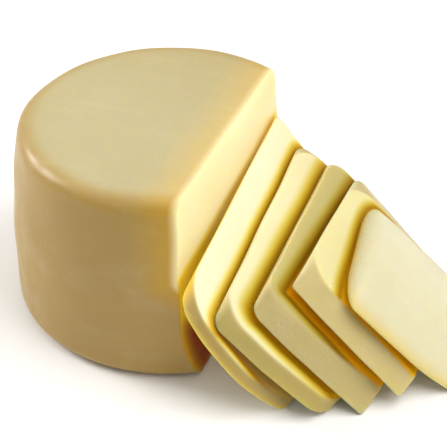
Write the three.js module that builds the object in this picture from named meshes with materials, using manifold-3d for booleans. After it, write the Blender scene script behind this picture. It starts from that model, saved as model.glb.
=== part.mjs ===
// A round of pale cheese, cut straight down, with five slices leaning in a row against its cut face.
// Units are millimetres and +Z is up. The origin lies on the round's axis, at the table.
// The cut face looks along +X, and its chord runs along Y.

import * as THREE from 'three';
import { mergeVertices } from 'three/addons/utils/BufferGeometryUtils.js';
import Module from 'manifold-3d';

const wasm = await Module();
wasm.setup();

// The standing round: a low barrel, widest below its middle, with a softly rounded rim.
const WHEEL = {
  radius: 84.4,
  height: 108,
  widestAt: 34,
  topTaper: 6.2,
  footTaper: 0.9,
  topRounding: 7.5,
  footRounding: 8,
};
const WHEEL_SIDES = 88;

// The knife went in at this distance from the axis, ran outwards on its way down, and swept out near the
// table.
const CUT_DISTANCE = 33.6;
const CUT_TILT = THREE.MathUtils.degToRad(2.4);
const CUT_FLARE = 6;
const CUT_FLARE_HEIGHT = 36;

// The slices in the order they were cut. Where two values are given, they are for the inner face, which
// looks at the round, and the outer face. Widest at is a height on the rind at the slice's ends, and the
// foot draw-ins are how far the ends fall back from there to the foot. The top draw-ins are how far the
// front end and the back end fall back to the top. Lean is the angle off upright, turn the angle about the
// vertical, tip how far the front end dips along the slice, and slide how far the slice lies along the
// chord.
const SLICES = [
  {
    name: 'slice_1',
    thickness: 5.2,
    heights: [84.2, 87],
    halfWidths: [85.3, 79.6],
    widestAt: 45,
    topDrawIns: [5.4, 0],
    footDrawIns: [13.7, 13.7],
    frontRoundings: [9, 20],
    backRoundings: [4, 6],
    footRounding: 4,
    lean: 37.7,
    turn: 0,
    tip: 4.2,
    slide: -7.4,
  },
  {
    name: 'slice_2',
    thickness: 7.6,
    heights: [80.5, 83.3],
    halfWidths: [78.2, 71],
    widestAt: 62,
    topDrawIns: [0, 0],
    footDrawIns: [5, 5],
    frontRoundings: [7, 20],
    backRoundings: [9, 20],
    footRounding: 14,
    lean: 46.2,
    turn: -1.1,
    tip: 5,
    slide: -5.5,
  },
  {
    name: 'slice_3',
    thickness: 9.6,
    heights: [80.5, 83.3],
    halfWidths: [71, 59],
    widestAt: 78,
    topDrawIns: [0, 0],
    footDrawIns: [4, 10],
    frontRoundings: [7, 12],
    backRoundings: [11, 12],
    footRounding: 2.5,
    lean: 46.6,
    turn: 0.5,
    tip: 1.3,
    slide: -1.5,
  },
  {
    name: 'slice_4',
    thickness: 7,
    heights: [80.5, 83.3],
    halfWidths: [58, 43],
    widestAt: 78,
    topDrawIns: [0, 0],
    footDrawIns: [3, 1],
    frontRoundings: [1.2, 18],
    backRoundings: [7, 18],
    footRounding: 2.5,
    lean: 47,
    turn: 4.6,
    tip: -5.5,
    slide: -1.5,
  },
];

// The last slice is the round end of a wider, lower stretch of cheese, so it runs from its cut face to the
// rind.
const END_SLICE = { name: 'slice_5', lean: 47, turn: 8.5, tip: 0, slide: 3 };
const END_CUT_DISTANCE = 90.6;
const END_ROUND = {
  radius: 102,
  height: 80.5,
  widestAt: 40,
  topTaper: 0.6,
  footTaper: 2.3,
  topRounding: 9.5,
  footRounding: 2,
};
const END_ROUND_SIDES = 144;

const CLEARANCE = 0.3;
const WALL_STEPS = 10;
const ROUNDING_STEPS = 6;
const FLARE_STEPS = 6;
const CUTTER_SIZE = 400;
const MERGE_TOLERANCE = 1e-4;

const RIND_COLOUR = 0xcdb88a;
const PASTE_COLOUR = 0xf8ebba;
const RIND_ROUGHNESS = 0.5;
const PASTE_ROUGHNESS = 0.6;

// Half the outline of a round, from the axis at its foot to the axis at its top.
function outline(round) {
  const wall = (z) => {
    const above = z > round.widestAt;
    const reach = above ? round.height - round.widestAt : round.widestAt;
    const taper = above ? round.topTaper : round.footTaper;
    return round.radius - taper * ((z - round.widestAt) / reach) ** 2;
  };
  const points = [new THREE.Vector2(0, 0)];
  for (let step = 0; step < ROUNDING_STEPS; step += 1) {
    const angle = (step / ROUNDING_STEPS) * (Math.PI / 2);
    const z = round.footRounding * (1 - Math.cos(angle));
    points.push(new THREE.Vector2(wall(z) - round.footRounding * (1 - Math.sin(angle)), z));
  }
  const wallFoot = round.footRounding;
  const wallTop = round.height - round.topRounding;
  for (let step = 0; step <= WALL_STEPS; step += 1) {
    const z = THREE.MathUtils.lerp(wallFoot, wallTop, step / WALL_STEPS);
    points.push(new THREE.Vector2(wall(z), z));
  }
  for (let step = 1; step <= ROUNDING_STEPS; step += 1) {
    const angle = (step / ROUNDING_STEPS) * (Math.PI / 2);
    const z = wallTop + round.topRounding * Math.sin(angle);
    points.push(new THREE.Vector2(wall(z) - round.topRounding * (1 - Math.cos(angle)), z));
  }
  points.push(new THREE.Vector2(0, round.height));
  return points;
}

// A closed solid from a three.js geometry: shared vertices merged, triangles without area dropped.
function solidOf(geometry) {
  geometry.deleteAttribute('normal');
  geometry.deleteAttribute('uv');
  const merged = mergeVertices(geometry, MERGE_TOLERANCE);
  const corners = merged.index.array;
  const kept = [];
  for (let first = 0; first < corners.length; first += 3) {
    const triangle = corners.slice(first, first + 3);
    if (new Set(triangle).size === 3) {
      kept.push(...triangle);
    }
  }
  const mesh = new wasm.Mesh({
    numProp: 3,
    vertProperties: merged.attributes.position.array,
    triVerts: Uint32Array.from(kept),
  });
  return new wasm.Manifold(mesh);
}

function geometryOf(solid) {
  const mesh = solid.getMesh();
  const geometry = new THREE.BufferGeometry();
  geometry.setAttribute('position', new THREE.BufferAttribute(mesh.vertProperties, 3));
  geometry.setIndex(new THREE.BufferAttribute(mesh.triVerts, 1));
  geometry.computeVertexNormals();
  return geometry;
}

function barrel(round, sides) {
  const geometry = new THREE.LatheGeometry(outline(round), sides);
  geometry.rotateX(Math.PI / 2);
  return solidOf(geometry);
}

function cheeseMesh(name, geometry, color, roughness) {
  const material = new THREE.MeshStandardMaterial({ color, roughness, metalness: 0 });
  const mesh = new THREE.Mesh(geometry, material);
  mesh.name = name;
  return mesh;
}

// Where the knife passed at a height: a straight slanted cut, with a sweep that grows with the square of
// the drop.
function cutAt(z) {
  const sweep = Math.max(0, 1 - z / CUT_FLARE_HEIGHT);
  return CUT_DISTANCE + Math.tan(CUT_TILT) * (WHEEL.height - z) + CUT_FLARE * sweep ** 2;
}

// The wheel, with everything beyond the knife's path taken off.
function makeWheel() {
  const path = new THREE.Shape();
  path.moveTo(CUTTER_SIZE, -CLEARANCE);
  path.lineTo(CUTTER_SIZE, CUTTER_SIZE);
  path.lineTo(cutAt(CUTTER_SIZE), CUTTER_SIZE);
  for (let step = 0; step <= FLARE_STEPS; step += 1) {
    const z = CUT_FLARE_HEIGHT * (1 - step / FLARE_STEPS);
    path.lineTo(cutAt(z), z);
  }
  path.lineTo(cutAt(0), -CLEARANCE);
  const beyond = new THREE.ExtrudeGeometry(path, { depth: CUTTER_SIZE, bevelEnabled: false });
  beyond.rotateX(Math.PI / 2);
  beyond.translate(0, CUTTER_SIZE / 2, 0);
  const solid = barrel(WHEEL, WHEEL_SIDES).subtract(solidOf(beyond));
  return cheeseMesh('wheel', geometryOf(solid), RIND_COLOUR, RIND_ROUGHNESS);
}

// The closed outline of a slice's inner (0) or outer (1) face, from the middle of its foot round by the
// back end: the place along the chord in x and the height in y.
function faceOutline(cut, face) {
  const end = (topTaper, topRounding) => outline({
    radius: cut.halfWidths[face],
    height: cut.heights[face],
    widestAt: cut.widestAt,
    topTaper,
    footTaper: cut.footDrawIns[face],
    topRounding,
    footRounding: cut.footRounding,
  });
  const back = end(cut.topDrawIns[1], cut.backRoundings[face]);
  const front = end(cut.topDrawIns[0], cut.frontRoundings[face]).slice(1, -1).reverse();
  return [...back, ...front.map((point) => new THREE.Vector2(-point.x, point.y))];
}

// One slice, with the foot of its inner face at the origin, its thickness along X and its chord along Y:
// two flat faces, and the rind drawn straight from the outline of one to the outline of the other.
function makeSlice(cut) {
  const inner = faceOutline(cut, 0);
  const outer = faceOutline(cut, 1);
  const count = inner.length;
  const positions = [
    ...inner.flatMap((point) => [0, point.x, point.y]),
    ...outer.flatMap((point) => [cut.thickness, point.x, point.y]),
  ];
  const triangles = [];
  for (let here = 0; here < count; here += 1) {
    const next = (here + 1) % count;
    triangles.push(here, next, count + next, here, count + next, count + here);
  }
  for (let here = 1; here < count - 1; here += 1) {
    triangles.push(0, here + 1, here, count, count + here, count + here + 1);
  }
  const geometry = new THREE.BufferGeometry();
  geometry.setAttribute('position', new THREE.Float32BufferAttribute(positions, 3));
  geometry.setIndex(triangles);
  geometry.computeVertexNormals();
  return cheeseMesh(cut.name, geometry, PASTE_COLOUR, PASTE_ROUGHNESS);
}

// The round end, with the foot of its cut face at the origin.
function makeEndSlice() {
  const beyond = new THREE.BoxGeometry(CUTTER_SIZE, CUTTER_SIZE, CUTTER_SIZE);
  beyond.translate(END_CUT_DISTANCE + CUTTER_SIZE / 2, 0, 0);
  const solid = barrel(END_ROUND, END_ROUND_SIDES).intersect(solidOf(beyond));
  const geometry = geometryOf(solid);
  geometry.translate(-END_CUT_DISTANCE, 0, 0);
  return cheeseMesh(END_SLICE.name, geometry, PASTE_COLOUR, PASTE_ROUGHNESS);
}

// The least value that a measure takes over the corners of a placed mesh.
function least(mesh, measure) {
  mesh.updateMatrixWorld(true);
  const positions = mesh.geometry.attributes.position;
  const corner = new THREE.Vector3();
  let smallest = Infinity;
  for (let index = 0; index < positions.count; index += 1) {
    corner.fromBufferAttribute(positions, index).applyMatrix4(mesh.matrixWorld);
    smallest = Math.min(smallest, measure(corner));
  }
  return smallest;
}

// Stands a tilted slice on the table and slides it along X until it rests against the support plane.
function restAgainst(mesh, support, cut) {
  const lean = THREE.MathUtils.degToRad(cut.lean);
  const turn = THREE.MathUtils.degToRad(cut.turn);
  const tip = THREE.MathUtils.degToRad(cut.tip);
  mesh.rotation.set(tip, -lean, turn, 'ZYX');
  mesh.position.y = cut.slide;
  mesh.position.z -= least(mesh, (corner) => corner.z);
  const clear = least(mesh, (corner) => support.distanceToPoint(corner));
  mesh.position.x += (CLEARANCE - clear) / support.normal.x;
  mesh.updateMatrixWorld(true);
}

const group = new THREE.Group();
group.add(makeWheel());

const cutNormal = new THREE.Vector3(Math.cos(CUT_TILT), 0, Math.sin(CUT_TILT));
const cutTop = new THREE.Vector3(CUT_DISTANCE, 0, WHEEL.height);
let support = new THREE.Plane().setFromNormalAndCoplanarPoint(cutNormal, cutTop);

for (const cut of SLICES) {
  const slice = makeSlice(cut);
  restAgainst(slice, support, cut);
  group.add(slice);
  support = new THREE.Plane(new THREE.Vector3(1, 0, 0), -cut.thickness).applyMatrix4(slice.matrixWorld);
}

const endSlice = makeEndSlice();
restAgainst(endSlice, support, END_SLICE);
group.add(endSlice);

export default group;
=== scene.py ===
"""A standing round of pale cheese, cut straight down, with five slices leaning against its cut face.

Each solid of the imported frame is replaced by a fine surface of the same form, with softened knife edges. The
round and the last slice are stacks of level sections. The other slices are outlines carried from one face to
the other. All points are worked out as whole arrays.
"""
import math

import bpy
import numpy as np
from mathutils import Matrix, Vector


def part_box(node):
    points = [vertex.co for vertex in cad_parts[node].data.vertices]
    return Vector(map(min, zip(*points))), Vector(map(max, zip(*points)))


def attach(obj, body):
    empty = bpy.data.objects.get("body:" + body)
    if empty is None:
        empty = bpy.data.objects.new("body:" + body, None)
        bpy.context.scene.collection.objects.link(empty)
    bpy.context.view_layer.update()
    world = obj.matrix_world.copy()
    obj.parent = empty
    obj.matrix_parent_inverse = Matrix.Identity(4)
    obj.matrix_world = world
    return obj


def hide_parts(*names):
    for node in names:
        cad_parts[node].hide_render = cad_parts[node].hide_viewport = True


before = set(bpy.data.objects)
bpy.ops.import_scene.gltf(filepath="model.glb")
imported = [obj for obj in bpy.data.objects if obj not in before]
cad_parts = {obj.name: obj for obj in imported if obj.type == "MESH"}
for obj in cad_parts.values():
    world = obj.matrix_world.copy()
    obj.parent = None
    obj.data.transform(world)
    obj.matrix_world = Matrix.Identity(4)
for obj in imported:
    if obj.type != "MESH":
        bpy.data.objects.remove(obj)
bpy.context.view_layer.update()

MM = 0.001

# The standing round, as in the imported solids: a low barrel, widest below its middle.
WHEEL = dict(
    radius=84.4 * MM,
    height=108 * MM,
    widest_at=34 * MM,
    top_taper=6.2 * MM,
    foot_taper=0.9 * MM,
    top_rounding=7.5 * MM,
    foot_rounding=8 * MM,
)
WHEEL_EDGE = 1.8 * MM

# The knife went in this far from the axis, ran outwards on its way down, and swept out near the table.
CUT_DISTANCE = 33.6 * MM
CUT_TILT = math.radians(2.4)
CUT_FLARE = 6 * MM
CUT_FLARE_HEIGHT = 36 * MM

# The slices in the order they were cut. Pairs are for the inner face, which looks at the round, and the
# outer face, but the top draw-ins, how far the ends fall back to the top, are for the front end and the
# back end. The edges are the softness of the knife edges. The angles are the lean off upright, the turn
# about the vertical and the dip of the front.
SLICES = [
    dict(
        node="slice_1",
        thickness=5.2 * MM,
        heights=(84.2 * MM, 87 * MM),
        half_widths=(85.3 * MM, 79.6 * MM),
        widest_at=45 * MM,
        top_draw_ins=(5.4 * MM, 0),
        foot_draw_ins=(13.7 * MM, 13.7 * MM),
        front_roundings=(9 * MM, 20 * MM),
        back_roundings=(4 * MM, 6 * MM),
        foot_rounding=4 * MM,
        edges=(0.5 * MM, 2 * MM),
        angles=(37.7, 0.0, 4.2),
    ),
    dict(
        node="slice_2",
        thickness=7.6 * MM,
        heights=(80.5 * MM, 83.3 * MM),
        half_widths=(78.2 * MM, 71 * MM),
        widest_at=62 * MM,
        top_draw_ins=(0, 0),
        foot_draw_ins=(5 * MM, 5 * MM),
        front_roundings=(7 * MM, 20 * MM),
        back_roundings=(9 * MM, 20 * MM),
        foot_rounding=14 * MM,
        edges=(0.6 * MM, 2.6 * MM),
        angles=(46.2, -1.1, 5.0),
    ),
    dict(
        node="slice_3",
        thickness=9.6 * MM,
        heights=(80.5 * MM, 83.3 * MM),
        half_widths=(71 * MM, 59 * MM),
        widest_at=78 * MM,
        top_draw_ins=(0, 0),
        foot_draw_ins=(4 * MM, 10 * MM),
        front_roundings=(7 * MM, 12 * MM),
        back_roundings=(11 * MM, 12 * MM),
        foot_rounding=2.5 * MM,
        edges=(0.5 * MM, 2.4 * MM),
        angles=(46.6, 0.5, 1.3),
    ),
    dict(
        node="slice_4",
        thickness=7 * MM,
        heights=(80.5 * MM, 83.3 * MM),
        half_widths=(58 * MM, 43 * MM),
        widest_at=78 * MM,
        top_draw_ins=(0, 0),
        foot_draw_ins=(3 * MM, 1 * MM),
        front_roundings=(1.2 * MM, 18 * MM),
        back_roundings=(7 * MM, 18 * MM),
        foot_rounding=2.5 * MM,
        edges=(0.4 * MM, 1.6 * MM),
        angles=(47.0, 4.6, -5.5),
    ),
]

# The last slice: the round end of a wider, lower stretch of cheese, from its cut face out to the rind.
END_ROUND = dict(
    radius=102 * MM,
    height=80.5 * MM,
    widest_at=40 * MM,
    top_taper=0.6 * MM,
    foot_taper=2.3 * MM,
    top_rounding=9.5 * MM,
    foot_rounding=2 * MM,
)
END_CUT_DISTANCE = 90.6 * MM
END_EDGE = 0.8 * MM
END_ANGLES = (47.0, 8.5, 0.0)

# How finely the surfaces are drawn.
STEP = 1.2 * MM
CORNER_STEPS = 6
CORNER_SHARE = 0.4
ROUNDING_STEPS = 12
WALL_POINTS = 60
FLAT_POINTS = 60
FACE_RINGS = 40
FACE_CROWDING = 1.4
RIND_STEPS = 8
SHARP = 0.01 * MM
SEARCH_PARTS = 24

# The slow waviness that hand work leaves on every face, the same field for all pieces.
WAVE_HEIGHT = 0.25 * MM
WAVE_LENGTHS = np.array([47.0, 61.0, 38.0]) * MM
WAVE_PHASE = 1.0
WAVE_SETTLE = 12 * MM

# How far the painted golden shade in the crease beside each leaning slice reaches over the face that it
# leans on, above the slice and at its ends, from the round's cut face to the fourth slice.
CREASE_SHADE_REACHES = np.array([(5.2, 1.6), (8.0, 3.4), (10.3, 6.5), (8.4, 5.5), (7.0, 5.0)]) * MM

# Where the painted shade in under a leaning slice starts and over what distance it grows, on the round's cut
# face and on the slices.
WHEEL_UNDER_SHADE = (14 * MM, 20 * MM)
SLICE_UNDER_SHADE = (0, 3 * MM)

# The painted light edge and painted glow beside the round's cut reach this far over the rind, and fade
# out down the wall between these heights. The share is how much of the glow shows at the cut.
GLOW_REACH = 27 * MM
GLOW_SHARE = 0.95
EDGE_REACH = 5 * MM
GLOW_END = 34 * MM
GLOW_FULL = 64 * MM

# The wall's colour, set apart from the top's as painted shade, reaches in over a round's rim by this much.
# On a slice it grows as the rind turns from level to upright, between these shares.
RIM_SHADE_REACH = 14 * MM
UPRIGHT_RANGE = (0.05, 0.62)

# The cheese grows warmer towards the back, from the first to the second of these places along Y.
BACK_RANGE = (10 * MM, 75 * MM)
BACK_TINT = (0.93, 0.89, 0.79, 1)

# The depth over which the rind turns into paste, and the paste's deeper tone under the rind.
RIND_THICKNESS = (0.05 * MM, 0.9 * MM)
UNDER_RIND_DEPTH = 7 * MM
UNDER_RIND_SHARE = 0.55
UNDER_RIND_TINT = np.array([1.0, 0.97, 0.9])

# How many features of each texture lie along a metre. Scuffs and the marks of the knife are stretched, so
# each axis has its own number.
RIND_CLOUDS = 17
RIND_MOTTLES = 60
RIND_GRAINS = 420
RIND_PITS = 520
RIND_SCUFFS = (26, 140, 70)
PASTE_CLOUDS = 22
PASTE_GRAINS = 900
KNIFE_MARKS = (260, 9, 420)
FLOOR_CLOUDS = 3

# Between which of its values each texture takes effect. Pits come in where the mottles pass PITTED_RANGE.
RIND_CLOUD_RANGE = (0.3, 0.7)
RIND_MOTTLE_RANGE = (0.4, 0.75)
RIND_ROUGH_RANGE = (0.35, 0.7)
SCUFF_RANGE = (0.5, 0.85)
PITTED_RANGE = (0.45, 0.65)
PIT_RANGE = (0.1, 0.42)
PASTE_CLOUD_RANGE = (0.35, 0.7)
KNIFE_MARK_RANGE = (0.3, 0.7)
FLOOR_CLOUD_RANGE = (0.3, 0.7)

# How high each texture stands in the bump.
PIT_HEIGHT = 1.6
MOTTLE_HEIGHT = 1.2
RIND_GRAIN_HEIGHT = 0.35
KNIFE_MARK_HEIGHT = 0.8
PASTE_GRAIN_HEIGHT = 0.25
BUMP_STRENGTH = 0.45
BUMP_DEPTH = 0.3 * MM

# How rough and shiny the surfaces are, and how far red, green and blue light soak in.
RIND_ROUGHNESS = (0.34, 0.48)
PASTE_ROUGHNESS = (0.4, 0.55)
WHEEL_SHINE = 0.45
SLICE_SHINE = 0.15
END_SHINE = 0.3
SOAK_SHARE = 0.85
SOAK_DEPTH = 10 * MM
SOAK_COLOURS = (1.0, 0.72, 0.12)

# Colours of the textures, and how much of each shows.
RIND_CLOUD_TINT = (0.95, 0.93, 0.89, 1)
RIND_CLOUD_SHARE = 0.75
RIND_MOTTLE_TINT = (0.97, 0.95, 0.9, 1)
RIND_MOTTLE_SHARE = 0.4
SCUFF_COLOUR = (0.9, 0.84, 0.66, 1)
SCUFF_SHARE = 0.07
PASTE_CLOUD_TINT = (1, 0.965, 0.88, 1)
PASTE_CLOUD_SHARE = 0.8

# Colours of the round, of the slices in their order, and of the round end. The round's and the slices'
# wall colours are the rind's tan darkened as painted shade. The glow colours are painted light through the
# cheese beside a cut, the edge colour is a painted light line along the round's cut and a painted golden
# band along the round end's cut, and the crease and under-slice colours are painted shade.
WHEEL_COLOURS = {
    "Top Colour": (0.53, 0.465, 0.265, 1),
    "Shaded Wall Colour": (0.415, 0.275, 0.07, 1),
    "Top Glow Colour": (0.64, 0.49, 0.19, 1),
    "Wall Glow Colour": (0.52, 0.32, 0.016, 1),
    "Painted Edge Colour": (0.74, 0.64, 0.37, 1),
    "Paste Colour": (0.94, 0.84, 0.49, 1),
    "Under Rind Colour": (0.9, 0.81, 0.48, 1),
    "Crease Shade Colour": (1.0, 0.74, 0.03, 1),
    "Under Slice Shade Colour": (0.35, 0.055, 0.001, 1),
}
# Painted golden shade on a slice's face beside the next leaning slice.
SLICE_CREASE_SHADE = (0.46, 0.235, 0.002, 1)
# The first slice's top strip is painted gold, painted shade of the golden groove against the round's cut.
GROOVE_SHADE_TOP = (1.0, 0.66, 0.1)
PALE_TOP = (0.9, 0.8, 0.48)
# The slices' paste, wall and under-slice colours differ from slice to slice as painted light and shade; the
# third slice's darker paste is painted shade from the fourth slice.
SLICE_SHADES = [
    dict(top=GROOVE_SHADE_TOP, wall=(0.38, 0.305, 0.105), paste=(0.87, 0.83, 0.62), shelter=(0.52, 0.36, 0.1)),
    dict(top=PALE_TOP, wall=(0.46, 0.375, 0.135), paste=(0.79, 0.76, 0.52), shelter=(0.85, 0.5, 0.006)),
    dict(top=PALE_TOP, wall=(0.51, 0.425, 0.195), paste=(0.51, 0.455, 0.2), shelter=(0.95, 0.46, 0.002)),
    dict(top=PALE_TOP, wall=(0.54, 0.455, 0.21), paste=(0.745, 0.69, 0.38), shelter=(0.95, 0.5, 0.004)),
]
END_COLOURS = {
    "Top Colour": (0.8, 0.68, 0.4, 1),
    "Shaded Wall Colour": (0.74, 0.71, 0.54, 1),
    "Top Glow Colour": (0.66, 0.58, 0.32, 1),
    "Wall Glow Colour": (0.67, 0.63, 0.41, 1),
    "Painted Edge Colour": (0.67, 0.5, 0.16, 1),
    "Paste Colour": (0.78, 0.7, 0.4, 1),
    "Under Rind Colour": (0.78, 0.68, 0.36, 1),
}

# The table top is a large pale square just under the cheese.
FLOOR_REACH = 3.0
FLOOR_DROP = 0.2 * MM
FLOOR_TONES = (0.93, 0.96)
FLOOR_ROUGHNESS = 0.9
FLOOR_SHINE = 0.1

# The lamps, each at a distance along its heading from the middle of the cheese, and the light all around.
LIT_MIDDLE = np.array([50, 0, 50]) * MM
LAMPS = [
    dict(
        name="key_right",
        heading=(0.6, 0.0, 0.8),
        distance=1.2,
        size=(1.2, 1.0),
        watts=11,
        colour=(1.0, 0.97, 0.91),
    ),
    dict(
        name="left_fill",
        heading=(-0.88, -0.03, 0.45),
        distance=1.2,
        size=(0.45, 0.4),
        watts=8.5,
        colour=(1.0, 0.98, 0.95),
    ),
    dict(
        name="overhead",
        heading=(0.25, 0.0, 1.0),
        distance=1.3,
        size=(1.6, 1.6),
        watts=6,
        colour=(1.0, 1.0, 1.0),
    ),
]
WORLD_COLOUR = (1, 1, 1, 1)
WORLD_STRENGTH = 0.4

# The photograph's camera: its eye in the part's frame, its heading and its pitch below the horizon.
CAMERA_EYE = (277.4 * MM, -649.3 * MM, 554.1 * MM)
CAMERA_HEADING = math.radians(20.8)
CAMERA_PITCH = math.radians(36.1)
CAMERA_FOCAL_PIXELS = 1600
IMAGE_PIXELS = 447
SENSOR_WIDTH = 36.0


# Shapes


def quarter_circle(share):
    """How far a rounding of radius one has drawn in, at a share of the way from its start to its end."""
    share = np.clip(share, 0, 1)
    return 1 - np.sqrt(1 - share**2)


def smooth(share):
    """A soft step from nothing to one: three times the square less twice the cube of the clipped share."""
    share = np.clip(share, 0, 1)
    return share * share * (3 - 2 * share)


def barrel_radius(barrel, z):
    """Radius of a barrel at height z.

    The largest radius, less a taper that grows with the square of the distance from the widest height,
    less a quarter circle at the upper rim and another at the foot.
    """
    above = z > barrel["widest_at"]
    reach = np.where(above, barrel["height"] - barrel["widest_at"], barrel["widest_at"])
    taper = np.where(above, barrel["top_taper"], barrel["foot_taper"])
    wall = barrel["radius"] - taper * ((z - barrel["widest_at"]) / reach) ** 2
    rim = quarter_circle((z - barrel["height"]) / barrel["top_rounding"] + 1)
    foot = quarter_circle(1 - z / barrel["foot_rounding"])
    return wall - barrel["top_rounding"] * rim - barrel["foot_rounding"] * foot


def section_heights(barrel, edge):
    """Heights of the level sections: even steps up the wall, and quarter-circle steps in every rounding."""
    turn = 1 - np.cos(np.linspace(0, math.pi / 2, ROUNDING_STEPS + 1))
    height = barrel["height"]
    low = np.concatenate([edge * turn, barrel["foot_rounding"] * turn])
    high = height - np.concatenate([edge * turn, barrel["top_rounding"] * turn])
    wall = np.linspace(0, height, int(height / STEP) + 1)
    every = np.unique(np.concatenate([low, wall, high]))
    return every[np.concatenate([[True], np.diff(every) > SHARP])]


def run(start, end, count):
    """Even steps from start up to, but not including, end, as a row for each height."""
    return start + (end - start) * np.arange(count) / count


def chord(x, y_from, y_to):
    """A straight cut at distance x from the barrel's axis, drawn at every height."""
    count = int(np.abs(y_to - y_from).max() / STEP) + 2
    y = run(y_from, y_to, count)
    return np.broadcast_to(x, y.shape), y


def arc(centre_x, centre_y, radius, angle_from, angle_to, count):
    """Part of a circle about a centre, drawn at every height."""
    angle = run(angle_from, angle_to, count)
    return centre_x + radius * np.cos(angle), centre_y + radius * np.sin(angle)


def level_outline(radius, edge, inner=None, outer=None):
    """Closed outline of a round cut off at x = inner or at x = outer, one row for each height.

    Each corner between a cut and the circle is a small arc that touches both, so its centre lies one edge
    radius inside the cut and inside the circle. Where little is left beside the cut, the corners shrink.
    """
    zero = np.zeros_like(radius)
    side = 1 if inner is None else -1
    cut = outer if inner is None else inner
    edge = np.minimum(edge, CORNER_SHARE * (radius + side * cut))
    corner_x = cut - side * edge
    corner_y = np.sqrt((radius - edge) ** 2 - corner_x**2)
    reach = np.arctan2(corner_y, side * corner_x)
    start = zero if side > 0 else zero + math.pi
    count = int((radius * (math.pi - reach)).max() * 2 / STEP) + 2
    parts = [
        chord(cut, -side * corner_y, side * corner_y),
        arc(corner_x, side * corner_y, edge, start, start + reach, CORNER_STEPS),
        arc(zero, zero, radius, start + reach, start + 2 * math.pi - reach, count),
        arc(corner_x, -side * corner_y, edge, start - reach, start, CORNER_STEPS),
    ]
    return np.hstack([part[0] for part in parts]), np.hstack([part[1] for part in parts])


def round_rings(barrel, edge, inner=None, outer=None):
    """Rings of a cut round from foot to top: its level outline at each height.

    The cut is a function of the height, and draws back in a quarter circle at its upper and lower ends.
    """
    z = section_heights(barrel, edge)[:, None]
    pull = edge * quarter_circle(1 - np.minimum(z, barrel["height"] - z) / edge)
    if inner is not None:
        inner = inner(z) + pull
    if outer is not None:
        outer = outer(z) - pull
    x, y = level_outline(barrel_radius(barrel, z), edge, inner, outer)
    return np.stack([x, y, np.broadcast_to(z, x.shape)], 2)


def depth_in_round(barrel, points):
    """Depth under the rind of a round: the least distance to the wall, the top and the foot."""
    wall = barrel_radius(barrel, points[:, 2]) - np.hypot(points[:, 0], points[:, 1])
    return np.minimum(wall, np.minimum(points[:, 2], barrel["height"] - points[:, 2]))


def slice_wall_tone(facing_up):
    """How much of the wall's colour, set apart from the top's as painted shade, a slice's rind has.

    A soft step over the square root of what its upward facing lacks to one.
    """
    low, high = UPRIGHT_RANGE
    return smooth((np.sqrt(1 - np.clip(facing_up, 0, 1)) - low) / (high - low))


def round_wall_tone(barrel, points):
    """How much of the wall's colour, set apart from the top's as painted shade, a round's rind has.

    All of it below the middle height, and above that a soft step from the start of the rim inwards.
    """
    rim_start = barrel_radius(barrel, barrel["height"] - barrel["top_rounding"])
    inwards = rim_start - np.hypot(points[:, 0], points[:, 1])
    return np.where(points[:, 2] > barrel["height"] / 2, smooth(1 - inwards / RIM_SHADE_REACH), 1)


def half_outline(barrel, half_width=barrel_radius):
    """Half a face's outline, as y and z, from the middle of its foot to the middle of its top.

    The half width at each height is a barrel's radius, or what is left of it beside a cut.
    """
    angle = np.linspace(0, math.pi / 2, ROUNDING_STEPS + 1)
    foot = barrel["foot_rounding"] * (1 - np.cos(angle))
    top = barrel["height"] - barrel["top_rounding"] * (1 - np.sin(angle))
    z = np.concatenate([foot, np.linspace(foot[-1], top[0], WALL_POINTS)[1:-1], top])
    y = half_width(barrel, z)
    along = np.arange(FLAT_POINTS) / FLAT_POINTS
    flat_y = np.concatenate([along * y[0], y, along[::-1] * y[-1]])
    flat_z = np.concatenate([0 * along, z, 0 * along + barrel["height"]])
    return np.stack([flat_y, flat_z], 1)


def closed_outline(back, front):
    """A closed outline from two halves, and its outward normals, from the foot's middle by the back."""
    points = np.concatenate([back[:-1], front[::-1][:-1] * (-1, 1)])
    along = np.roll(points, -1, 0) - np.roll(points, 1, 0)
    normals = np.stack([along[:, 1], -along[:, 0]], 1)
    return points, normals / np.linalg.norm(normals, axis=1, keepdims=True)


def slice_outline(cut, face):
    """Closed outline of a slice's face: at each end the side of a barrel with that end's roundings."""
    front, back = (
        half_outline(
            dict(
                radius=cut["half_widths"][face],
                height=cut["heights"][face],
                widest_at=cut["widest_at"],
                top_taper=draw_in,
                foot_taper=cut["foot_draw_ins"][face],
                top_rounding=roundings[face],
                foot_rounding=cut["foot_rounding"],
            )
        )
        for draw_in, roundings in zip(cut["top_draw_ins"], (cut["front_roundings"], cut["back_roundings"]))
    )
    return closed_outline(back, front)


def slice_rings(cut, edges):
    """Rings of a slice from its inner to its outer face, and the depth of each under the rind.

    The rind runs straight from the inner outline to the outer one. At each face it is drawn in along the
    outline's normal by a quarter circle of that edge's radius.
    """
    (inner, inner_normal), (outer, outer_normal) = (slice_outline(cut, face) for face in (0, 1))
    angle = np.linspace(0, math.pi / 2, CORNER_STEPS + 1)
    rind = np.linspace(edges[0], cut["thickness"] - edges[1], RIND_STEPS)[1:-1]
    inner_turn, outer_turn = (edge * (1 - np.cos(angle)) for edge in edges)
    inner_inset, outer_inset = (edge * (1 - np.sin(angle)) for edge in edges)
    x = np.concatenate([inner_turn, rind, cut["thickness"] - outer_turn[::-1]])[:, None, None]
    inset = np.concatenate([inner_inset, 0 * rind, outer_inset[::-1]])[:, None, None]
    share = x / cut["thickness"]
    flat = (1 - share) * (inner - inset * inner_normal) + share * (outer - inset * outer_normal)
    rings = np.concatenate([np.broadcast_to(x, flat.shape[:2] + (1,)), flat], 2)
    return rings, np.broadcast_to(inset[:, :, 0], flat.shape[:2])


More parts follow.
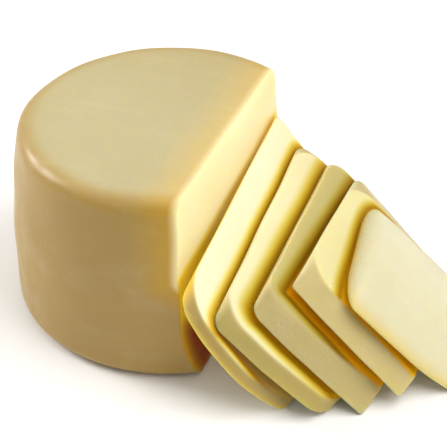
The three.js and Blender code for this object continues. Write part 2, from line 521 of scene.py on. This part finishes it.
def close_rings(rings):
    """Rings with flat faces that shrink to a point at both ends, and the two end points."""
    steps = np.linspace(0, 1, FACE_RINGS + 1)[1:-1, None, None] ** FACE_CROWDING
    first, last = rings[0], rings[-1]
    first_middle, last_middle = first.mean(0), last.mean(0)
    before = first + (first_middle - first) * steps[::-1]
    after = last + (last_middle - last) * steps
    return np.concatenate([before, rings, after]), np.stack([first_middle, last_middle])


def ring_faces(rows, columns):
    """Corner numbers of the quads between rings, then of the triangles that close both ends."""
    row, column = np.meshgrid(np.arange(rows - 1), np.arange(columns), indexing="ij")
    here = (row * columns + column).ravel()
    next_along = (row * columns + (column + 1) % columns).ravel()
    quads = np.stack([here, next_along, next_along + columns, here + columns], 1)
    around = np.arange(columns)
    after = (around + 1) % columns
    first_point = np.full(columns, rows * columns)
    first = np.stack([first_point, after, around], 1)
    last_ring = (rows - 1) * columns
    last = np.stack([first_point + 1, last_ring + around, last_ring + after], 1)
    return quads, np.concatenate([first, last])


def leaning(sharp_points, node, angles):
    """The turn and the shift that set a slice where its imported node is.

    The turn is about X by the dip, then about Y by the lean, then about Z. The box of the sharp-edged form,
    once turned, then has the same middle as the node's box.
    """
    lean, turn, dip = np.radians(angles)
    about_x = np.array([[1, 0, 0], [0, np.cos(dip), -np.sin(dip)], [0, np.sin(dip), np.cos(dip)]])
    about_y = np.array([[np.cos(lean), 0, -np.sin(lean)], [0, 1, 0], [np.sin(lean), 0, np.cos(lean)]])
    about_z = np.array([[np.cos(turn), -np.sin(turn), 0], [np.sin(turn), np.cos(turn), 0], [0, 0, 1]])
    turned = about_z @ about_y @ about_x
    sharp = sharp_points @ turned.T
    return turned, np.mean(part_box(node), axis=0) - (sharp.min(0) + sharp.max(0)) / 2


def waviness(points):
    """Moves points by a slow wave of space, so neighbours that touch still touch, and the table stays flat.

    Each coordinate is shifted by a product of sines of the other two, times a share that rises from
    nothing at the table to one higher up.
    """
    share = 1 - np.exp(-points[:, 2:] / WAVE_SETTLE)
    phase = 2 * math.pi * points / WAVE_LENGTHS
    shift = np.sin(np.roll(phase, 1, axis=1)) * np.cos(np.roll(phase, 2, axis=1) + WAVE_PHASE)
    return points + WAVE_HEIGHT * share * shift


def beside(flat_points, outline, normals):
    """How far points of a plane lie outside a closed outline, below zero inside it, and how far it faces up.

    The step from the nearest point of the outline, measured along the outward normal there, and that
    normal's upward part.
    """
    parts = np.array_split(flat_points, SEARCH_PARTS)
    nearest = np.concatenate([((part[:, None] - outline) ** 2).sum(2).argmin(1) for part in parts])
    distance = ((flat_points - outline[nearest]) * normals[nearest]).sum(1)
    return distance, np.clip(normals[nearest, 1], 0, 1)


def mesh_object(name, points, quads, triangles, **attributes):
    """A smooth mesh object from whole arrays, with one number kept at each point for every attribute."""
    mesh = bpy.data.meshes.new(name)
    mesh.vertices.add(len(points))
    mesh.vertices.foreach_set("co", np.ascontiguousarray(points, np.float32).ravel())
    corners = np.concatenate([quads.ravel(), triangles.ravel()]).astype(np.int32)
    mesh.loops.add(len(corners))
    mesh.loops.foreach_set("vertex_index", corners)
    sizes = np.concatenate([np.full(len(quads), 4), np.full(len(triangles), 3)])
    starts = np.concatenate([[0], np.cumsum(sizes)[:-1]]).astype(np.int32)
    mesh.polygons.add(len(sizes))
    mesh.polygons.foreach_set("loop_start", starts)
    for attribute, values in attributes.items():
        layer = mesh.attributes.new(attribute, "FLOAT", "POINT")
        layer.data.foreach_set("value", np.ascontiguousarray(values, np.float32))
    mesh.update(calc_edges=True)
    mesh.validate()
    mesh.shade_smooth()
    piece = bpy.data.objects.new(name, mesh)
    bpy.context.scene.collection.objects.link(piece)
    return piece


# Node building


class Nodes:
    """A short way to add and join nodes in one tree."""

    def __init__(self, tree):
        self.tree = tree

    def fill(self, socket, value):
        """Joins a socket to another, or sets its own value."""
        if isinstance(value, bpy.types.NodeSocket):
            self.tree.links.new(value, socket)
        else:
            socket.default_value = value

    def add(self, kind, inputs=None, **settings):
        """A new node with its settings and inputs."""
        node = self.tree.nodes.new(kind)
        for setting, value in settings.items():
            setattr(node, setting, value)
        for socket, value in (inputs or {}).items():
            self.fill(node.inputs[socket], value)
        return node

    def math(self, operation, first, second):
        """One sum, product or other operation on two values."""
        return self.add("ShaderNodeMath", {0: first, 1: second}, operation=operation).outputs[0]

    def spread(self, value, low, high, to_low=0.0, to_high=1.0):
        """A soft step between two values."""
        inputs = {"Value": value, "From Min": low, "From Max": high, "To Min": to_low, "To Max": to_high}
        return self.add("ShaderNodeMapRange", inputs, interpolation_type="SMOOTHSTEP").outputs["Result"]

    def blend(self, share, first, second, mode="MIX"):
        """One colour over another."""
        inputs = {"Factor": share, 6: first, 7: second}
        return self.add("ShaderNodeMix", inputs, data_type="RGBA", blend_type=mode).outputs[2]

    def between(self, share, first, second):
        """A value between two others."""
        inputs = {"Factor": share, 2: first, 3: second}
        return self.add("ShaderNodeMix", inputs, data_type="FLOAT").outputs[0]

    def noise(self, place, scale=1.0, detail=3.0, roughness=0.5):
        """Fractal noise at a scale."""
        inputs = {"Vector": place, "Scale": scale, "Detail": detail, "Roughness": roughness}
        return self.add("ShaderNodeTexNoise", inputs).outputs["Fac"]

    def stretched(self, place, scale):
        """A place with each axis scaled on its own."""
        return self.add("ShaderNodeMapping", {"Vector": place, "Scale": scale}).outputs["Vector"]

    def attribute(self, name):
        """A number kept at the mesh's points."""
        return self.add("ShaderNodeAttribute", attribute_name=name).outputs["Fac"]


FLOAT = "NodeSocketFloat"
COLOUR = "NodeSocketColor"
VECTOR = "NodeSocketVector"
SURFACE_OUTPUTS = [("Colour", COLOUR), ("Roughness", FLOAT), ("Height", FLOAT)]


def new_group(name, inputs, outputs):
    """An empty shader node group with named sockets: the group, its nodes, its inputs and its outputs."""
    group = bpy.data.node_groups.new(name, "ShaderNodeTree")
    for socket, kind in inputs:
        group.interface.new_socket(socket, in_out="INPUT", socket_type=kind)
    for socket, kind in outputs:
        group.interface.new_socket(socket, in_out="OUTPUT", socket_type=kind)
    nodes = Nodes(group)
    entry = nodes.add("NodeGroupInput").outputs
    leave = nodes.add("NodeGroupOutput").inputs
    return group, nodes, entry, leave


def rind_group():
    """Rind: faint clouds over a tan, with pits, scuffs and a greasy sheen.

    The wall's colour, set apart from the top's, is painted shade, and the glow and light edge near a cut are
    painted light.
    """
    group, nodes, entry, leave = new_group(
        "rind_skin",
        [
            ("Place", VECTOR),
            ("Wall Shade", FLOAT),
            ("From Cut", FLOAT),
            ("Top Colour", COLOUR),
            ("Shaded Wall Colour", COLOUR),
            ("Top Glow Colour", COLOUR),
            ("Wall Glow Colour", COLOUR),
            ("Painted Edge Colour", COLOUR),
        ],
        SURFACE_OUTPUTS,
    )
    place = entry["Place"]
    cloud = nodes.noise(place, RIND_CLOUDS)
    mottle = nodes.noise(place, RIND_MOTTLES, detail=4, roughness=0.6)
    grain = nodes.noise(place, RIND_GRAINS)
    scuff = nodes.spread(nodes.noise(nodes.stretched(place, RIND_SCUFFS)), *SCUFF_RANGE)
    cells = nodes.add("ShaderNodeTexVoronoi", {"Vector": place, "Scale": RIND_PITS}).outputs["Distance"]
    pitted = nodes.spread(mottle, *PITTED_RANGE)
    pit = nodes.between(pitted, 1.0, nodes.spread(cells, *PIT_RANGE))

    # Painted light: the glow and the light edge near a cut. Painted shade: the wall's colour by its share.
    far = nodes.blend(entry["Wall Shade"], entry["Top Colour"], entry["Shaded Wall Colour"])
    near = nodes.blend(entry["Wall Shade"], entry["Top Glow Colour"], entry["Wall Glow Colour"])
    glow = nodes.spread(entry["From Cut"], 0.0, GLOW_REACH, GLOW_SHARE, 0.0)
    edge = nodes.spread(entry["From Cut"], 0.0, EDGE_REACH, 1.0, 0.0)
    clouded = nodes.spread(cloud, *RIND_CLOUD_RANGE, RIND_CLOUD_SHARE, 0.0)
    mottled = nodes.spread(mottle, *RIND_MOTTLE_RANGE, RIND_MOTTLE_SHARE, 0.0)
    colour = nodes.blend(glow, far, near)
    colour = nodes.blend(edge, colour, entry["Painted Edge Colour"])
    colour = nodes.blend(clouded, colour, RIND_CLOUD_TINT, "MULTIPLY")
    colour = nodes.blend(mottled, colour, RIND_MOTTLE_TINT, "MULTIPLY")
    colour = nodes.blend(nodes.math("MULTIPLY", scuff, SCUFF_SHARE), colour, SCUFF_COLOUR)
    nodes.fill(leave["Colour"], colour)

    nodes.fill(leave["Roughness"], nodes.spread(mottle, *RIND_ROUGH_RANGE, *RIND_ROUGHNESS))
    pit_height = nodes.math("MULTIPLY", pit, PIT_HEIGHT)
    mottle_height = nodes.math("MULTIPLY", mottle, MOTTLE_HEIGHT)
    grain_height = nodes.math("MULTIPLY", grain, RIND_GRAIN_HEIGHT)
    coarse_height = nodes.math("ADD", pit_height, mottle_height)
    nodes.fill(leave["Height"], nodes.math("ADD", coarse_height, grain_height))
    return group


def paste_group():
    """Cut paste: cream with warm clouds, deeper by the rind, painted golden shade beside a leaning slice.

    The painted shade is the crease colour to the power of its share, times the paste. In under the slice the
    paste takes a darker painted shade.
    """
    group, nodes, entry, leave = new_group(
        "cut_paste",
        [
            ("Place", VECTOR),
            ("Depth", FLOAT),
            ("Crease", FLOAT),
            ("Shelter", FLOAT),
            ("Paste Colour", COLOUR),
            ("Under Rind Colour", COLOUR),
            ("Crease Shade Colour", COLOUR),
            ("Under Slice Shade Colour", COLOUR),
        ],
        SURFACE_OUTPUTS,
    )
    place = entry["Place"]
    cloud = nodes.noise(place, PASTE_CLOUDS)
    mark = nodes.noise(nodes.stretched(place, KNIFE_MARKS))
    grain = nodes.noise(place, PASTE_GRAINS, detail=2)

    clouded = nodes.spread(cloud, *PASTE_CLOUD_RANGE, PASTE_CLOUD_SHARE, 0.0)
    under = nodes.spread(entry["Depth"], 0.0, UNDER_RIND_DEPTH, UNDER_RIND_SHARE, 0.0)
    # Painted shade: golden beside a leaning slice, and darker in under it.
    crease_shade_tint = nodes.add("ShaderNodeGamma", {"Color": entry["Crease Shade Colour"], "Gamma": entry["Crease"]})
    colour = nodes.blend(clouded, entry["Paste Colour"], PASTE_CLOUD_TINT, "MULTIPLY")
    colour = nodes.blend(under, colour, entry["Under Rind Colour"])
    colour = nodes.blend(1.0, colour, crease_shade_tint.outputs["Color"], "MULTIPLY")
    colour = nodes.blend(entry["Shelter"], colour, entry["Under Slice Shade Colour"])
    nodes.fill(leave["Colour"], colour)

    nodes.fill(leave["Roughness"], nodes.spread(mark, *KNIFE_MARK_RANGE, *PASTE_ROUGHNESS))
    mark_height = nodes.math("MULTIPLY", mark, KNIFE_MARK_HEIGHT)
    grain_height = nodes.math("MULTIPLY", grain, PASTE_GRAIN_HEIGHT)
    nodes.fill(leave["Height"], nodes.math("ADD", mark_height, grain_height))
    return group


def principled(name):
    """A new material with only a Principled shader and its output, and a tool to add nodes."""
    material = bpy.data.materials.new(name)
    material.use_nodes = True
    nodes = Nodes(material.node_tree)
    material.node_tree.nodes.clear()
    shader = nodes.add("ShaderNodeBsdfPrincipled")
    nodes.add("ShaderNodeOutputMaterial", {"Surface": shader.outputs[0]})
    return material, nodes, shader


def cheese_material(name, rind, paste, colours, shine):
    """Rind at the skin and paste where the knife opened it, warmer at the back, with light soaking in."""
    material, nodes, shader = principled(name)
    place = nodes.add("ShaderNodeTexCoord").outputs["Object"]
    depth = nodes.attribute("depth")
    skin_inputs = {
        "Place": place,
        "Wall Shade": nodes.attribute("wall_tone"),
        "From Cut": nodes.attribute("from_cut"),
    }
    body_inputs = {
        "Place": place,
        "Depth": depth,
        "Crease": nodes.attribute("crease"),
        "Shelter": nodes.attribute("shelter"),
    }
    skin = nodes.add("ShaderNodeGroup", node_tree=rind)
    body = nodes.add("ShaderNodeGroup", node_tree=paste)
    for group, inputs in ((skin, skin_inputs), (body, body_inputs)):
        for socket, value in (inputs | colours).items():
            if socket in group.inputs:
                nodes.fill(group.inputs[socket], value)
    inside = nodes.spread(depth, *RIND_THICKNESS)
    colour = nodes.blend(inside, skin.outputs["Colour"], body.outputs["Colour"])
    along_cut = nodes.add("ShaderNodeSeparateXYZ", {"Vector": place}).outputs["Y"]
    colour = nodes.blend(nodes.spread(along_cut, *BACK_RANGE), colour, BACK_TINT, "MULTIPLY")
    nodes.fill(shader.inputs["Base Color"], colour)
    roughness = nodes.between(inside, skin.outputs["Roughness"], body.outputs["Roughness"])
    nodes.fill(shader.inputs["Roughness"], roughness)
    height = nodes.between(inside, skin.outputs["Height"], body.outputs["Height"])
    bump_inputs = {"Strength": BUMP_STRENGTH, "Distance": BUMP_DEPTH, "Height": height}
    bump = nodes.add("ShaderNodeBump", bump_inputs)
    nodes.fill(shader.inputs["Normal"], bump.outputs["Normal"])
    shader.inputs["Subsurface Weight"].default_value = SOAK_SHARE
    shader.inputs["Subsurface Radius"].default_value = SOAK_COLOURS
    shader.inputs["Subsurface Scale"].default_value = SOAK_DEPTH
    shader.inputs["Specular IOR Level"].default_value = shine
    return material


def floor_material():
    """A plain pale table top with the faintest unevenness."""
    material, nodes, shader = principled("pale_table")
    place = nodes.add("ShaderNodeTexCoord").outputs["Object"]
    tone = nodes.spread(nodes.noise(place, FLOOR_CLOUDS), *FLOOR_CLOUD_RANGE, *FLOOR_TONES)
    pale = nodes.add("ShaderNodeCombineColor", {0: tone, 1: tone, 2: tone}).outputs[0]
    nodes.fill(shader.inputs["Base Color"], pale)
    shader.inputs["Roughness"].default_value = FLOOR_ROUGHNESS
    shader.inputs["Specular IOR Level"].default_value = FLOOR_SHINE
    return material


# The cheese


def knife_path(z):
    """Where the knife cut the standing round.

    A slanted line, and a sweep that grows with the square of the drop below the sweep's start.
    """
    sweep = np.clip(1 - z / CUT_FLARE_HEIGHT, 0, None)
    return CUT_DISTANCE + math.tan(CUT_TILT) * (WHEEL["height"] - z) + CUT_FLARE * sweep**2


def end_cut(z):
    """The straight cut that took the round end off."""
    return END_CUT_DISTANCE + 0 * z


def beside_end_cut(barrel, z):
    """Half the width of the round end's cut face at a height, by Pythagoras."""
    return np.sqrt(barrel_radius(barrel, z) ** 2 - END_CUT_DISTANCE**2)


def wheel_surface():
    """The standing round, kept on the near side of the knife's path."""
    rings, middles = close_rings(round_rings(WHEEL, WHEEL_EDGE, outer=knife_path))
    points = np.concatenate([rings.reshape(-1, 3), middles])
    low = 1 - smooth((points[:, 2] - GLOW_END) / (GLOW_FULL - GLOW_END))
    return dict(
        node="wheel",
        points=points,
        faces=ring_faces(*rings.shape[:2]),
        depth=depth_in_round(WHEEL, points),
        from_cut=knife_path(points[:, 2]) - points[:, 0] + GLOW_REACH * low,
        wall_tone=round_wall_tone(WHEEL, points),
        leaned_on=np.ones(len(points)),
    )


def slice_surface(cut):
    """One slice, leaning where its node is, with the frame and outline of its inner face."""
    open_rings, rind_depth = slice_rings(cut, cut["edges"])
    rings, middles = close_rings(open_rings)
    first_depth = rind_depth[0] + np.linalg.norm(rings[: FACE_RINGS - 1] - open_rings[0], axis=2)
    last_depth = rind_depth[-1] + np.linalg.norm(rings[1 - FACE_RINGS :] - open_rings[-1], axis=2)
    middle_depth = [first_depth.max(), last_depth.max()]
    points = np.concatenate([rings.reshape(-1, 3), middles])
    outline = slice_outline(cut, 0)
    sharp_rings, _ = slice_rings(cut, (SHARP, SHARP))
    turned, shift = leaning(sharp_rings.reshape(-1, 3), cut["node"], cut["angles"])
    return dict(
        node=cut["node"],
        points=points @ turned.T + shift,
        faces=ring_faces(*rings.shape[:2]),
        depth=np.concatenate([first_depth.ravel(), rind_depth.ravel(), last_depth.ravel(), middle_depth]),
        from_cut=np.full(len(points), GLOW_REACH),
        wall_tone=np.append(np.tile(slice_wall_tone(outline[1][:, 1]), len(rings)), [1, 1]),
        leaned_on=points[:, 0] > cut["thickness"] / 2,
        inner_face=(turned, shift, outline),
    )


def end_surface():
    """The round end, leaning where its node is, with the frame and outline of its cut face."""
    rings, middles = close_rings(round_rings(END_ROUND, END_EDGE, inner=end_cut))
    points = np.concatenate([rings.reshape(-1, 3), middles])
    sharp_rings = round_rings(END_ROUND, SHARP, inner=end_cut)
    turned, shift = leaning(sharp_rings.reshape(-1, 3), "slice_5", END_ANGLES)
    half = half_outline(END_ROUND, beside_end_cut)
    return dict(
        node="slice_5",
        points=points @ turned.T + shift,
        faces=ring_faces(*rings.shape[:2]),
        depth=depth_in_round(END_ROUND, points),
        from_cut=points[:, 0] - END_CUT_DISTANCE,
        wall_tone=round_wall_tone(END_ROUND, points),
        inner_face=(turned, shift, closed_outline(half, half)),
    )


def contact(surface, next_surface, reaches, shelter_span):
    """How much painted shade the points of a face take beside and under the slice that leans on it.

    Seen in the plane of that slice's inner face, the painted golden shade fades out with the square of the
    share of its reach beside the outline, and the darker painted shade grows with the distance in from the
    outline.
    """
    turned, shift, outline = next_surface["inner_face"]
    flat = ((surface["points"] - shift) @ turned)[:, 1:]
    distance, facing_up = beside(flat, *outline)
    above_reach, end_reach = reaches
    reach = end_reach + (above_reach - end_reach) * facing_up
    # Painted golden shade beside the leaning slice's outline.
    crease = np.clip(1 - distance / reach, 0, 1) ** 2 * surface["leaned_on"]
    shelter_start, shelter_growth = shelter_span
    # Painted darker shade in under the leaning slice.
    shelter = smooth((-distance - shelter_start) / shelter_growth) * surface["leaned_on"]
    return crease, shelter


def dress(surface, material, crease, shelter):
    """Makes a surface a piece with its material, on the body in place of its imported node."""
    piece = mesh_object(
        surface["node"] + "_cheese",
        waviness(surface["points"]),
        *surface["faces"],
        depth=surface["depth"],
        from_cut=surface["from_cut"],
        wall_tone=surface["wall_tone"],
        crease=crease,
        shelter=shelter,
    )
    piece.data.materials.append(material)
    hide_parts(surface["node"])
    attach(piece, "root")


def slice_colours(top, wall, paste, shelter):
    """A slice's colours, with a deeper tone of its paste under the rind, and its painted shade colours."""
    under = UNDER_RIND_TINT * paste
    return {
        "Top Colour": (*top, 1),
        "Shaded Wall Colour": (*wall, 1),
        "Paste Colour": (*paste, 1),
        "Under Rind Colour": (*under, 1),
        "Crease Shade Colour": SLICE_CREASE_SHADE,
        "Under Slice Shade Colour": (*shelter, 1),
    }


rind = rind_group()
paste = paste_group()
surfaces = [wheel_surface(), *(slice_surface(cut) for cut in SLICES), end_surface()]
colours = [WHEEL_COLOURS, *(slice_colours(**shades) for shades in SLICE_SHADES), END_COLOURS]
shines = [WHEEL_SHINE] + [SLICE_SHINE] * len(SLICES) + [END_SHINE]
slots = ["rind"] + ["paste"] * len(SLICES) + ["paste"]
shelters = [WHEEL_UNDER_SHADE] + [SLICE_UNDER_SHADE] * len(SLICES)
unmarked = np.zeros(len(surfaces[-1]["points"]))
marks = [*map(contact, surfaces, surfaces[1:], CREASE_SHADE_REACHES, shelters), (unmarked, unmarked)]
for surface, tones, shine, slot, (crease, shelter) in zip(surfaces, colours, shines, slots, marks):
    material = cheese_material(surface["node"] + "_cheese", rind, paste, tones, shine)
    dress(surface, material, crease, shelter)


# Table, light and camera


def table_top():
    """A level square that catches the shadows and is no part of the object."""
    corners = FLOOR_REACH * np.array([(-1, -1), (1, -1), (-1, 1), (1, 1)])
    points = np.column_stack([corners, np.full(4, -FLOOR_DROP)])
    floor = mesh_object("table_top", points, np.array([[0, 1, 3, 2]]), np.empty((0, 3), int))
    floor.data.materials.append(floor_material())


def soft_light(name, heading, distance, size, watts, colour):
    """A rectangular lamp at a distance along a heading from the cheese, turned to shine on it."""
    lamp = bpy.data.lights.new(name, "AREA")
    lamp.shape = "RECTANGLE"
    lamp.size, lamp.size_y = size
    lamp.energy = watts
    lamp.color = colour
    lamp_object = bpy.data.objects.new(name, lamp)
    unit = np.array(heading) / np.linalg.norm(heading)
    lamp_object.location = LIT_MIDDLE + distance * unit
    across = math.atan2(-unit[1], -unit[0])
    down = math.asin(unit[2])
    lamp_object.rotation_euler = (math.pi / 2 - down, 0, across - math.pi / 2)
    bpy.context.scene.collection.objects.link(lamp_object)


def even_light():
    """The same faint white light from all around."""
    world = bpy.data.worlds.new("studio")
    world.use_nodes = True
    background = world.node_tree.nodes["Background"]
    background.inputs["Color"].default_value = WORLD_COLOUR
    background.inputs["Strength"].default_value = WORLD_STRENGTH
    bpy.context.scene.world = world


def photo_camera():
    """The camera that took the photograph."""
    camera_data = bpy.data.cameras.new("photo_camera")
    camera_data.sensor_width = SENSOR_WIDTH
    camera_data.lens = SENSOR_WIDTH * CAMERA_FOCAL_PIXELS / IMAGE_PIXELS
    camera = bpy.data.objects.new("photo_camera", camera_data)
    camera.location = CAMERA_EYE
    camera.rotation_euler = (math.pi / 2 - CAMERA_PITCH, 0, CAMERA_HEADING)
    bpy.context.scene.collection.objects.link(camera)
    bpy.context.scene.camera = camera


table_top()
for lamp in LAMPS:
    soft_light(**lamp)
even_light()
photo_camera()
bpy.context.scene.view_settings.view_transform = "Standard"

bpy.context.view_layer.update()
